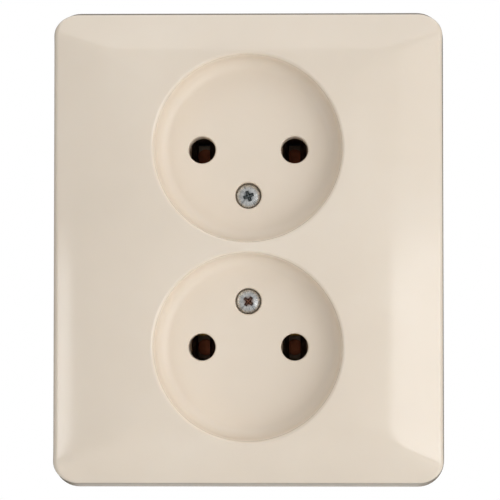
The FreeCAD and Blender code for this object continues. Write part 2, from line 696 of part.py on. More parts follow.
def makeTerminals():
    """Each wire is held between a square clamp plate and the bar by a screw put in from the front."""
    plateBack = "dims.barFront - dims.clampRest"
    seat = "%s - dims.plateThick - dims.fit" % plateBack
    for sideX, sideZ in corners:
        name = "%s_%s" % (poleNames[sideX], levelNames[sideZ])
        across = "%d * dims.pinPitch / 2" % sideX
        up = "%d * dims.terminalZ" % sideZ
        plate = block(("dims.plateSide", "dims.plateThick", "dims.plateSide"),
                      (across, "%s - dims.plateThick / 2" % plateBack, up))
        hole = rod("dims.terminalShank + dims.fit", seat + " - 1", "dims.plateThick + 2", across, up)
        keep(cut(plate, hole), "clamp_plate_" + name)
        made = screw("dims.terminalHead", "dims.terminalShank", seat, "dims.terminalTip",
                     "dims.terminalHeadThick", across, up)
        keep(made, "terminal_screw_" + name)


# Expansion claws

def makeClaws():
    """Steel claws that swing out against the box: the screw draws the nut against the ridge of the foot."""
    for side in (-1, 1):
        name = sideNames[side]
        body = newBody("claw_" + name)
        made = sketch(body, "clawProfile" + name, role="XY_Plane")
        half = "dims.clawThick / 2"
        lever = "(dims.pivotX - dims.clawScrewX)"
        shape = [
            (half + " + dims.clawTooth", "-dims.clawReach"), (half, "-dims.clawReach + dims.toothLength"),
            (half, half), ("-%s + dims.ridgeFront" % lever, half), ("-" + lever, half + " + dims.ridgeHeight"),
            ("-%s - dims.ridgeBack" % lever, half), ("-%s - dims.footLength" % lever, half),
            ("-%s - dims.footLength" % lever, "-" + half),
            ("-" + half, "-" + half), ("-" + half, "-dims.clawReach"),
        ]
        outline(made, [("%d * (dims.pivotX + %s)" % (side, a), "dims.pivotY + " + b) for a, b in shape])
        pad(body, made, "dims.clawWidth", midplane=True)
        curl = sketch(body, "clawCurl" + name, role="XY_Plane")
        circle(curl, "dims.pinRadius + dims.curlWall", "%d * dims.pivotX" % side, "dims.pivotY")
        pad(body, curl, "dims.clawWidth", midplane=True)
        fork = sketch(body, "clawFork" + name, lift="-dims.pivotY + dims.forkLength")
        rectangle(fork, "dims.forkLength", "2 * dims.terminalShank + 2 * (dims.gap + dims.over)",
                  "%d * (dims.clawScrewX - dims.forkShift)" % side)
        pocket(body, fork, "2 * dims.forkLength")
        bore = sketch(body, "clawBore" + name, role="XY_Plane")
        circle(bore, "dims.pinRadius + dims.fit", "%d * dims.pivotX" % side, "dims.pivotY")
        pocket(body, bore, "dims.clawWidth + 1", midplane=True)
        teeth = sketch(body, "clawTeeth" + name, role="YZ_Plane",
                       lift="%d * (dims.pivotX + dims.clawThick / 2 + dims.clawTooth + dims.over)" % side)
        for gap in (-1, 1):
            tip = "dims.pivotY - dims.clawReach"
            gapZ = "%d * dims.clawWidth / 6" % gap
            outline(teeth, [(tip + " - dims.over", gapZ + " - dims.notchHalf"),
                            (tip + " + dims.notchDepth", gapZ),
                            (tip + " - dims.over", gapZ + " + dims.notchHalf")])
        pocket(body, teeth, "dims.clawTooth + dims.clawThick + 2 * dims.over", forward=side < 0)

        across = "%d * dims.clawScrewX" % side
        made = screw("dims.clawHead", "dims.terminalShank", "-dims.ringThick - dims.fit", "dims.clawScrewTip",
                     "dims.clawHeadThick", across, "0")
        keep(made, "claw_screw_" + name)
        nutFront = "dims.pivotY + dims.clawThick / 2 + dims.ridgeHeight + dims.over"
        nut = block(("dims.clawNutWidth", "dims.nutThick", "dims.clawNutLength"),
                    (across, nutFront + " + dims.nutThick / 2", "0"))
        bore = rod("dims.terminalShank + dims.fit", nutFront + " - 1", "dims.nutThick + 2", across)
        keep(cut(nut, bore), "claw_nut_" + name)

    pins = []
    for side in (-1, 1):
        pin = doc.addObject("Part::Cylinder", "pivotPin")
        half = "(dims.clawWidth / 2 + dims.cheekGap + dims.cheekThick)"
        bind(pin, Radius="dims.pinRadius", Height="2 * " + half, Placement_Base_z="-" + half,
             Placement_Base_x="%d * dims.pivotX" % side, Placement_Base_y="dims.pivotY")
        pins.append(pin)
    group("claw_pivot_pins", pins)


# Build, test and write

for make in (makeCover, makeCoverScrews, makeRing, makeRingRivets, makeBase, makeLid, makeLidScrews,
             makeBusbars, makeContacts, makeTerminals, makeClaws):
    make()
doc.recompute()

for obj in doc.Objects:
    if "Invalid" in obj.State or "Error" in obj.State:
        raise RuntimeError("%s did not compute" % obj.Label)
for obj in finished:
    if obj.Shape.isNull() or not obj.Shape.isValid():
        raise RuntimeError("%s has no valid shape" % obj.Label)

os.makedirs("parts", exist_ok=True)
for obj in finished:
    obj.Shape.exportStep("parts/%s.step" % obj.Label)
    box = obj.Shape.BoundBox
    print("%-24s %8.1f mm3  %d solids  x %.1f..%.1f  y %.1f..%.1f  z %.1f..%.1f" % (
        obj.Label, obj.Shape.Volume, len(obj.Shape.Solids), box.XMin, box.XMax, box.YMin, box.YMax,
        box.ZMin, box.ZMax))
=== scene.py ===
import json
import math

import bmesh
import bpy
import numpy as np
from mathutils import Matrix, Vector


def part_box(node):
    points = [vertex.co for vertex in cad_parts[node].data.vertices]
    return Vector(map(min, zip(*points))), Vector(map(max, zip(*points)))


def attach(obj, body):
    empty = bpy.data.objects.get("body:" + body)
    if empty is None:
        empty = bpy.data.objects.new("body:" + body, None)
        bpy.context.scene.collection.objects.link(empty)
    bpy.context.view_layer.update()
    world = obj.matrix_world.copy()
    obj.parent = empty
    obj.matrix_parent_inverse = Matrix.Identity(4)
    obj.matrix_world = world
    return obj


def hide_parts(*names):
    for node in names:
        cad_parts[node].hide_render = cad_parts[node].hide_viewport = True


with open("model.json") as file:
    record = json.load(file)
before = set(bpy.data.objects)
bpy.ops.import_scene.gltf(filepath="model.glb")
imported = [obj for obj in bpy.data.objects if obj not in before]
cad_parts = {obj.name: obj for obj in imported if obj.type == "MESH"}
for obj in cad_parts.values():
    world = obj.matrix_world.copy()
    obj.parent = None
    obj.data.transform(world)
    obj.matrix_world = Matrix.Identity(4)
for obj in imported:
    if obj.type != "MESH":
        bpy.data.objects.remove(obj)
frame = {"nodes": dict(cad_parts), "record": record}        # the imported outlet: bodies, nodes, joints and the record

# A duplex wall outlet in metres: X right, Z up, Y into the wall, whose face is y = 0.
# The cover and the screws are new surfaces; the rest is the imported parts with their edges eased.

mm = 0.001
quarterArc = np.radians([22.5, 45, 67.5, 90])      # steps round a small rounded edge
weld = {"point": 0.0004, "sliver": 0.0001, "packed": 0.001}      # mm: below these, two points are one
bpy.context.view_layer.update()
mounts = {mount["name"]: mount for mount in frame["record"]["mounts"]}
slotOf = {part["node"]: part["material_slot"] for part in frame["record"]["subparts"]}
bodyOf = {node: body for body, members in frame["record"]["behaviour"]["bodies"].items()
          for node in members}


def middle(node):
    low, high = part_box(node)
    return (low + high) / 2


def gridFaces(rows, columns, wrap):
    # quads between neighbouring rows and columns; wrap joins the last column to the first
    row = np.arange(rows - 1)[:, None] * columns
    column = np.arange(columns if wrap else columns - 1)[None, :]
    following = (column + 1) % columns
    return np.stack([row + column, row + following, row + columns + following, row + columns + column],
                    -1).reshape(-1, 4)


def joinGrids(name, grids):
    # one mesh from several (points, wrap) grids, in millimetres
    points, faces, count = [], [], 0
    for grid, wrap in grids:
        rows, columns = grid.shape[:2]
        points.append(grid.reshape(-1, 3) * mm)
        faces.append(gridFaces(rows, columns, wrap) + count)
        count += rows * columns
    mesh = bpy.data.meshes.new(name)
    mesh.from_pydata(np.concatenate(points).tolist(), [], np.concatenate(faces).tolist())
    piece = bpy.data.objects.new(name, mesh)
    bpy.context.scene.collection.objects.link(piece)
    return piece


def closeSeams(piece):
    # merges the rows and columns that meet, drops what has no area and turns the faces outwards
    work = bmesh.new()
    work.from_mesh(piece.data)
    bmesh.ops.remove_doubles(work, verts=work.verts, dist=weld["point"] * mm)
    bmesh.ops.dissolve_degenerate(work, edges=work.edges, dist=weld["sliver"] * mm)
    bmesh.ops.recalc_face_normals(work, faces=work.faces)
    work.to_mesh(piece.data)
    work.free()
    return piece


def applyModifiers(piece):
    # works the piece's modifiers into its mesh
    graph = bpy.context.evaluated_depsgraph_get()
    mesh = bpy.data.meshes.new_from_object(piece.evaluated_get(graph))
    piece.modifiers.clear()
    piece.data = mesh


def carve(piece, tool, operation="DIFFERENCE"):
    # cuts the tool out of the piece, or joins it on, and takes the tool away
    cut = piece.modifiers.new("cut", "BOOLEAN")
    cut.object = tool
    cut.operation = operation
    cut.solver = "EXACT"
    applyModifiers(piece)
    bpy.data.objects.remove(tool)


def smooth(piece, sharpAngle):
    # smooth shading, except across edges that turn more than sharpAngle degrees
    mesh = piece.data
    mesh.polygons.foreach_set("use_smooth", np.ones(len(mesh.polygons), bool))
    mesh.set_sharp_from_angle(angle=math.radians(sharpAngle))
    return piece


def turned(name, profiles, columns):
    # Profiles of (depth y, radius) turned about lines along Y:
    # x = cx + r cos(a), y = y, z = cz + r sin(a). Each is (centre x, centre z, points).
    angle = np.linspace(0, 2 * math.pi, columns, endpoint=False)[None, :]
    grids = []
    for centreX, centreZ, points in profiles:
        depth, radius = np.array(points, float).T[:, :, None]
        grid = np.stack(np.broadcast_arrays(centreX + radius * np.cos(angle), depth,
                                            centreZ + radius * np.sin(angle)), -1)
        grids.append((grid, True))
    return closeSeams(joinGrids(name, grids))


def settle(piece, node):
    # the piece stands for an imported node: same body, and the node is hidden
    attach(piece, bodyOf[node])
    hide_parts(node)
    return piece


def linear(code):
    # an sRGB hex colour as linear RGBA
    parts = np.array([int(code[i:i + 2], 16) for i in (1, 3, 5)]) / 255
    return (*np.where(parts <= 0.04045, parts / 12.92, ((parts + 0.055) / 1.055) ** 2.4).tolist(), 1.0)


def addNode(owner, kind, settings=None, links=None):
    # a node of a material or the world, with its settings (a property, an input, or a ramp's stops as
    # places and hex colours) and the sockets that feed its inputs
    node = owner.node_tree.nodes.new(kind)
    for key, setting in (settings or {}).items():
        if key == "stops":
            ends = node.color_ramp.elements
            ends[0].position, ends[-1].position = setting[0][0], setting[-1][0]
            ends[0].color, ends[-1].color = linear(setting[0][1]), linear(setting[-1][1])
            for position, code in setting[1:-1]:
                ends.new(position).color = linear(code)
        elif isinstance(key, str) and hasattr(node, key):
            setattr(node, key, setting)
        else:
            node.inputs[key].default_value = setting
    for key, socket in (links or {}).items():
        owner.node_tree.links.new(socket, node.inputs[key])
    return node


def newMaterial(name, settings):
    # a material, its Principled shader with fixed settings, and its Object coordinates
    material = bpy.data.materials.new(name)
    material.use_nodes = True
    shader = material.node_tree.nodes["Principled BSDF"]
    for key, setting in settings.items():
        shader.inputs[key].default_value = setting
    place = addNode(material, "ShaderNodeTexCoord").outputs["Object"]
    return material, shader, place


def perMetre(size):
    # the scale of a texture whose cells are size millimetres wide
    return 1 / (size * mm)


def finishShader(material, shader, colour, roughness, bumps):
    # bumps are (height socket, strength, depth in mm), each laid over the one before
    joins = material.node_tree.links
    joins.new(colour, shader.inputs["Base Color"])
    if roughness:
        joins.new(roughness, shader.inputs["Roughness"])
    normal = None
    for height, strength, depth in bumps:
        links = {"Height": height}
        if normal:
            links["Normal"] = normal
        normal = addNode(material, "ShaderNodeBump", {"Strength": strength, "Distance": depth * mm},
                         links).outputs["Normal"]
    joins.new(normal, shader.inputs["Normal"])
    return material


creamMoulding = {
    "tones": [(0.30, "#E9DCCB"), (0.50, "#ECDFCE"), (0.72, "#EFE3D3")],
    "cloud": 26.0,               # mm across a patch of slightly other tone
    "waver": 14.0,               # mm across a ripple left by the mould
    "grain": 0.35,               # mm across the finest polish marks
    "waverBump": (0.25, 0.04),   # strength, and depth in mm
    "grainBump": (0.08, 0.001),
    "gloss": (0.09, 0.13),
    "wellGloss": 0.42,           # the wells are left with the tool's fine matt
    "wellMiddle": 20.25,         # mm from the cover's middle to a well's
    "wellEdge": (18.9, 19.3),    # mm from a well's axis, where the matt ends and the polish begins
}


def ureaMoulding():
    # Urea formaldehyde, compression moulded in a polished tool: a hard, slightly wavy gloss over a
    # warm cream body, with faint clouding in the colour, and a fine matt inside the wells.
    material, shader, place = newMaterial("urea moulding, polished tool", {
        "IOR": 1.54, "Metallic": 0.0, "Subsurface Weight": 0.08, "Subsurface Scale": 1.2 * mm,
        "Subsurface Radius": (1.0, 0.75, 0.5)})
    spec = creamMoulding
    cloud = addNode(material, "ShaderNodeTexNoise", {"Scale": perMetre(spec["cloud"]), "Detail": 3.0},
                    {"Vector": place}).outputs["Fac"]
    grain = addNode(material, "ShaderNodeTexNoise", {"Scale": perMetre(spec["grain"]), "Detail": 2.0},
                    {"Vector": place}).outputs["Fac"]
    waver = addNode(material, "ShaderNodeTexNoise", {"Scale": perMetre(spec["waver"]), "Detail": 1.0},
                    {"Vector": place}).outputs["Fac"]
    colour = addNode(material, "ShaderNodeValToRGB", {"stops": spec["tones"]}, {"Fac": cloud}).outputs[0]
    polished = addNode(material, "ShaderNodeMapRange",
                       {"To Min": spec["gloss"][0], "To Max": spec["gloss"][1]},
                       {"Value": grain}).outputs["Result"]
    # distance from a well's axis: the length of (x, |z| - middle)
    folded = addNode(material, "ShaderNodeVectorMath", {"operation": "ABSOLUTE"}, {0: place}).outputs[0]
    offset = (0.0, 0.0, -spec["wellMiddle"] * mm)
    flat = addNode(material, "ShaderNodeVectorMath",
                   {"operation": "MULTIPLY_ADD", 1: (1.0, 0.0, 1.0), 2: offset}, {0: folded}).outputs[0]
    radius = addNode(material, "ShaderNodeVectorMath", {"operation": "LENGTH"},
                     {0: flat}).outputs["Value"]
    inner, outer = spec["wellEdge"]
    roughness = addNode(material, "ShaderNodeMapRange",
                        {"From Min": inner * mm, "From Max": outer * mm, "To Min": spec["wellGloss"]},
                        {"Value": radius, "To Max": polished}).outputs["Result"]
    return finishShader(material, shader, colour, roughness,
                        [(waver, *spec["waverBump"]), (grain, *spec["grainBump"])])


brownMoulding = {
    "tones": [(0.25, "#33221A"), (0.55, "#4A3226"), (0.80, "#5F4433")],
    "fleck": 0.9,                # mm across a fleck of wood flour
    "cloud": 7.0,                # mm across a patch of other tone
    "fleckShare": 0.6,           # how much of the tone follows the flecks, and how much the patches
    "cloudShare": 0.4,
    "glossSpan": (-0.08, 0.10),
    "cloudBump": (0.2, 0.03),    # strength, and depth in mm
    "fleckBump": (0.25, 0.012),
}


def phenolicMoulding(name, gloss):
    # Wood-flour phenolic, compression moulded: near-black brown, with flour showing as small flecks,
    # and a satin skin that is duller than the cover.
    material, shader, place = newMaterial(name, {"IOR": 1.6, "Metallic": 0.0})
    spec = brownMoulding
    fleck = addNode(material, "ShaderNodeTexNoise",
                    {"Scale": perMetre(spec["fleck"]), "Detail": 6.0, "Roughness": 0.7},
                    {"Vector": place}).outputs["Fac"]
    cloud = addNode(material, "ShaderNodeTexNoise", {"Scale": perMetre(spec["cloud"]), "Detail": 2.0},
                    {"Vector": place}).outputs["Fac"]
    flecked = addNode(material, "ShaderNodeMath",
                      {"operation": "MULTIPLY_ADD", 1: spec["fleckShare"], 2: 0.0},
                      {0: fleck}).outputs[0]
    both = addNode(material, "ShaderNodeMath", {"operation": "MULTIPLY_ADD", 1: spec["cloudShare"]},
                   {0: cloud, 2: flecked}).outputs[0]
    colour = addNode(material, "ShaderNodeValToRGB", {"stops": spec["tones"]}, {"Fac": both}).outputs[0]
    roughness = addNode(material, "ShaderNodeMapRange",
                        {"To Min": gloss + spec["glossSpan"][0], "To Max": gloss + spec["glossSpan"][1]},
                        {"Value": fleck}).outputs["Result"]
    return finishShader(material, shader, colour, roughness,
                        [(cloud, *spec["cloudBump"]), (fleck, *spec["fleckBump"])])


plating = {
    "brush": 0.35,               # mm across a drawing mark, as coarse as it needs to be to show
    "stretch": (1.0, 0.12, 1.0),  # the marks run along Y
    "patch": 2.5,                # mm across a brighter or duller patch
    "brushBump": (0.25, 0.006),  # strength, and depth in mm
    "patchBump": (0.15, 0.02),
}


def platedMetal(name, tones, gloss):
    # Plated or drawn metal: fine marks along it, and a surface that is brighter and duller in patches.
    material, shader, place = newMaterial(name, {"Metallic": 1.0})
    stretched = addNode(material, "ShaderNodeMapping", {"Scale": plating["stretch"]},
                        {"Vector": place}).outputs[0]
    marks = addNode(material, "ShaderNodeTexNoise", {"Scale": perMetre(plating["brush"]), "Detail": 4.0},
                    {"Vector": stretched}).outputs["Fac"]
    patch = addNode(material, "ShaderNodeTexNoise", {"Scale": perMetre(plating["patch"]), "Detail": 3.0},
                    {"Vector": place}).outputs["Fac"]
    colour = addNode(material, "ShaderNodeValToRGB", {"stops": tones}, {"Fac": patch}).outputs[0]
    roughness = addNode(material, "ShaderNodeMapRange", {"To Min": gloss[0], "To Max": gloss[1]},
                        {"Value": marks}).outputs["Result"]
    return finishShader(material, shader, colour, roughness,
                        [(marks, *plating["brushBump"]), (patch, *plating["patchBump"])])


markedHead = {
    "tones": [(0.50, "#8C9092"), (0.64, "#C6C8C8"), (0.78, "#E6E7E5"), (0.92, "#FAFAF8")],
    "rays": 3.2,                 # how often the marks change round the head
    "patch": 0.7,                # mm across a brighter or duller patch
    "patchShare": 0.45,          # how much the patches add to the marks
    "heart": (0.45, 1.25),       # mm from the middle, where the heart colour starts to fade and has gone
    "heartShare": 0.9,
    "gloss": (0.42, 0.22),
    "rayBump": (0.35, 0.03),     # strength, and depth in mm
    "patchBump": (0.25, 0.02),
}


def headSteel(name, centre, heart):
    # Zinc-plated pressed screw head: bright and dull marks run out from the recess, and round the
    # recess itself the colour turns to heart, the colour given for it.
    # The marks are noise read along the direction (x, z) / r, so they keep their angle at every radius.
    material, shader, place = newMaterial(name, {"Metallic": 1.0})
    spec = markedHead
    about = addNode(material, "ShaderNodeMapping", {"Location": tuple(-centre)},
                    {"Vector": place}).outputs[0]
    flat = addNode(material, "ShaderNodeVectorMath", {"operation": "MULTIPLY", 1: (1.0, 0.0, 1.0)},
                   {0: about}).outputs[0]
    radius = addNode(material, "ShaderNodeVectorMath", {"operation": "LENGTH"},
                     {0: flat}).outputs["Value"]
    way = addNode(material, "ShaderNodeVectorMath", {"operation": "NORMALIZE"}, {0: flat}).outputs[0]
    marks = addNode(material, "ShaderNodeTexNoise",
                    {"Scale": spec["rays"], "Detail": 3.0, "Roughness": 0.65},
                    {"Vector": way}).outputs["Fac"]
    patch = addNode(material, "ShaderNodeTexNoise", {"Scale": perMetre(spec["patch"]), "Detail": 3.0},
                    {"Vector": place}).outputs["Fac"]
    both = addNode(material, "ShaderNodeMath", {"operation": "MULTIPLY_ADD", 1: spec["patchShare"]},
                   {0: patch, 2: marks}).outputs[0]
    plate = addNode(material, "ShaderNodeValToRGB", {"stops": spec["tones"]}, {"Fac": both}).outputs[0]
    near = addNode(material, "ShaderNodeMapRange",
                   {"From Min": spec["heart"][0] * mm, "From Max": spec["heart"][1] * mm,
                    "To Min": spec["heartShare"], "To Max": 0.0}, {"Value": radius}).outputs["Result"]
    colour = addNode(material, "ShaderNodeMix", {"data_type": "RGBA", 7: linear(heart)},
                     {0: near, 6: plate}).outputs[2]
    roughness = addNode(material, "ShaderNodeMapRange",
                        {"To Min": spec["gloss"][0], "To Max": spec["gloss"][1]},
                        {"Value": both}).outputs["Result"]
    return finishShader(material, shader, colour, roughness,
                        [(marks, *spec["rayBump"]), (patch, *spec["patchBump"])])


galvanised = {
    "tones": [(0.1, "#8F9598"), (0.5, "#A9AEB0"), (0.9, "#C2C6C7")],
    "spangle": 6.0,              # mm across a zinc crystal
    "warp": 2.0,                 # mm across a bend in a crystal's outline
    "wander": 1.8,               # mm that the outline is pushed aside
    "grain": 0.6,                # mm across the finest pits
    "gloss": (0.28, 0.48),
    "spangleBump": (0.1, 0.03),  # strength, and depth in mm
    "grainBump": (0.2, 0.008),
}


def galvanisedSheet():
    # Hot-dip galvanised sheet: zinc crystals a few millimetres across, each with its own tone and gloss.
    material, shader, place = newMaterial("hot-dip galvanised sheet", {"Metallic": 1.0})
    spec = galvanised
    warp = addNode(material, "ShaderNodeTexNoise", {"Scale": perMetre(spec["warp"]), "Detail": 3.0},
                   {"Vector": place}).outputs["Color"]
    moved = addNode(material, "ShaderNodeVectorMath",
                    {"operation": "MULTIPLY_ADD", 1: (spec["wander"] * mm,) * 3},
                    {0: warp, 2: place}).outputs["Vector"]
    crystal = addNode(material, "ShaderNodeTexVoronoi", {"Scale": perMetre(spec["spangle"])},
                      {"Vector": moved}).outputs
    tone = addNode(material, "ShaderNodeSeparateColor", links={"Color": crystal["Color"]}).outputs[0]
    colour = addNode(material, "ShaderNodeValToRGB", {"stops": spec["tones"]}, {"Fac": tone}).outputs[0]
    roughness = addNode(material, "ShaderNodeMapRange",
                        {"To Min": spec["gloss"][0], "To Max": spec["gloss"][1]},
                        {"Value": tone}).outputs["Result"]
    fine = addNode(material, "ShaderNodeTexNoise", {"Scale": perMetre(spec["grain"]), "Detail": 4.0},
                   {"Vector": place}).outputs["Fac"]
    return finishShader(material, shader, colour, roughness,
                        [(crystal["Distance"], *spec["spangleBump"]), (fine, *spec["grainBump"])])


paper = {
    "tones": [(0.3, "#F4F3F1"), (0.7, "#F8F7F5")],
    "gloss": 0.9,
    "tooth": 1.5,                # mm across the tooth
    "toothBump": (0.1, 0.02),    # strength, and depth in mm
}


def palePaper():
    # Matt paper background: a soft white with hardly any tooth.
    material, shader, place = newMaterial("matt white paper", {"Roughness": paper["gloss"]})
    tooth = addNode(material, "ShaderNodeTexNoise", {"Scale": perMetre(paper["tooth"]), "Detail": 3.0},
                    {"Vector": place}).outputs["Fac"]
    colour = addNode(material, "ShaderNodeValToRGB", {"stops": paper["tones"]},
                     {"Fac": tooth}).outputs[0]
    return finishShader(material, shader, colour, None, [(tooth, *paper["toothBump"])])


finishes = {
    "ivory_moulding": ureaMoulding(),
    "phenolic": phenolicMoulding("phenolic, wood-flour filled", 0.40),
    "phenolic_lid": phenolicMoulding("phenolic, wood-flour filled, lid", 0.34),
    "galvanised_plate": galvanisedSheet(),
    "contact_brass": platedMetal("sprung brass, browned by arcing and age",
                                 [(0.25, "#6A5444"), (0.5, "#9A8470"), (0.8, "#C6B6A2")], (0.42, 0.6)),
    "copper_wire": platedMetal("copper rivet wire, darkened by air",
                               [(0.3, "#6B3A2A"), (0.55, "#8F5239"), (0.8, "#AE6B4C")], (0.34, 0.5)),
    "zinc_plated_steel": platedMetal("zinc plate, clear passivated",
                                     [(0.3, "#B9B7B2"), (0.55, "#CBC9C4"), (0.8, "#DAD8D4")],
                                     (0.22, 0.36)),
    "spring_steel": platedMetal("spring strip, zinc plated and stamped",
                                [(0.3, "#A39F95"), (0.55, "#B8B4AA"), (0.8, "#C9C6BD")], (0.28, 0.42)),
    "bright_steel": platedMetal("drawn rivet wire, bright",
                                [(0.3, "#B4B4B4"), (0.6, "#C8C8C8"), (0.85, "#DADADA")], (0.20, 0.32)),
    "brass_strip": platedMetal("rolled brass strip, lightly tarnished",
                               [(0.25, "#8E6A35"), (0.5, "#C29A55"), (0.8, "#DDBB76")], (0.22, 0.38)),
    "nickel_plate": platedMetal("nickel plate, barrel plated",
                                [(0.3, "#B5B0A6"), (0.6, "#C9C5BC"), (0.85, "#DAD7D0")], (0.18, 0.30)),
    "terminal_steel": platedMetal("zinc plate, yellow chromate",
                                  [(0.25, "#B59A5E"), (0.5, "#CDB77F"), (0.8, "#DCCBA0")], (0.24, 0.38)),
}
for node, part in frame["nodes"].items():
    sprung = "_contact_" in node       # these are browner than the bars they sit on
    part.data.materials.clear()
    part.data.materials.append(finishes["contact_brass" if sprung else slotOf[node]])
print("materials:", len(finishes))


heads = {
    # the two heads that show: what shows in the heart of each, and how far it is turned, in radians
    "cover_screw_upper": {"heart": "#5B666B", "tilt": 0.35},     # blue-grey
    "cover_screw_lower": {"heart": "#7D4A2A", "tilt": 0.9},      # orange-brown
}
coverLow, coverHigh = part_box("cover_plate")
pinBores = [mount for name, mount in mounts.items() if name.startswith("pin_hole")]
cover = {
    # millimetres and degrees
    "halfX": coverHigh.x / mm,
    "halfZ": coverHigh.z / mm,
    "crown": -coverLow.y / mm,
    "corner": 5.4,
    # a slope: where its bend begins and ends, its gradient there and at the edge, and the edge
    "sideBend": (17.0, 27.0, 0.120, 0.240, 39.0),
    "endBend": (32.0, 38.0, 0.170, 0.680, 47.5),
    "mitre": 4.5,            # higher is a crisper line where two slopes meet
    "edge": 1.5,             # from the outline in to where the soft edge begins
    "edgeRadius": 1.25,
    "skirtAngle": 86.6,      # the drafted skirt off the wall's plane
    "wall": 2.1,
    "wellPitch": 2 * abs(pinBores[0]["pos_m"][2]) / mm,
    "floorHeight": 4.5,
    "floorRadius": 16.0,
    "sweep": 2.8,
    "steep": 75.0,           # between the floor and the well's wall
    "rimRadius": 0.62,
    "mouth": 19.8,           # radius where the rim meets the front
    "bossRadius": 21.1,
    "bossBack": 2.3,
    "pegRoot": 1.1,          # from the well's floor back to where bosses and collars start
    "pinRadius": pinBores[0]["dims"]["r_mm"],
    "screwWell": 2.7,
    "screwSeat": 1.65,       # from the front of a screw's head back to its seat
    "screwBoss": 4.2,
    "screwBossEnd": 0.8,     # behind the wall's face
    "pegBevel": 0.2,         # at the ends of bosses and collars
    "screwBore": 1.75,
    "collar": 3.6,           # tube behind each pin hole, as deep as the cover goes
    "hem": 0.22,             # rounding at the mouths of the small holes
    "cutterRise": 0.8,       # how far the cutters of the holes stand clear in front,
    "cutterPast": 1.0,       # and how far they run on behind
    "sharpAngle": 30,
    # how finely the surface is divided
    "outlinePoints": 221,
    "seamPoints": 92,
    "floorRings": (0, 3, 6, 9, 12, 14.5, 16.0),
    "sweepRings": 13,
    "rimRings": 9,
    "slopeRows": 43,
    "edgeRows": 10,
    "ceilingRows": 15,
    "holeColumns": 72,
    "pegColumns": 64,
}


def slopeDrop(distance, start, end, first, last, reach):
    # How far a slope has dropped: its gradient grows as 3t^2 - 2t^3 over the bend, whose integral is
    # t^3 - t^4 / 2, and then evenly from first to last.
    t = np.clip((distance - start) / (end - start), 0, 1)
    beyond = np.clip(distance - end, 0, None)
    return (first * (end - start) * (t ** 3 - t ** 4 / 2) + first * beyond
            + (last - first) * beyond ** 2 / (2 * (reach - end)))


def coverHeight(x, z):
    # height off the wall: crown - (a^p + b^p)^(1/p), with a and b the drops of the two slopes
    side = slopeDrop(np.abs(x), *cover["sideBend"])
    end = slopeDrop(np.abs(z), *cover["endBend"])
    power = cover["mitre"]
    return cover["crown"] - (side ** power + end ** power) ** (1 / power)


def halfOutline(count):
    # The upper half of the rounded rectangle by its length: up the right side, round the corner,
    # across the top, round and down; with the outward normal at each point.
    halfX, halfZ, corner = cover["halfX"], cover["halfZ"], cover["corner"]
    side, turn, top = halfZ - corner, corner * math.pi / 2, 2 * (halfX - corner)
    length = np.linspace(0, 2 * side + 2 * turn + top, count)
    right = np.minimum(length, 2 * side + 2 * turn + top - length)      # from the nearer lower end
    angle = np.clip((right - side) / corner, 0, math.pi / 2)
    sign = np.where(length <= side + turn + top / 2, 1.0, -1.0)
    across = halfX - corner + corner * np.cos(angle) - np.clip(right - side - turn, 0, None)
    up = np.minimum(right, side) + corner * np.sin(angle)
    return sign * across, up, sign * np.cos(angle), np.sin(angle)


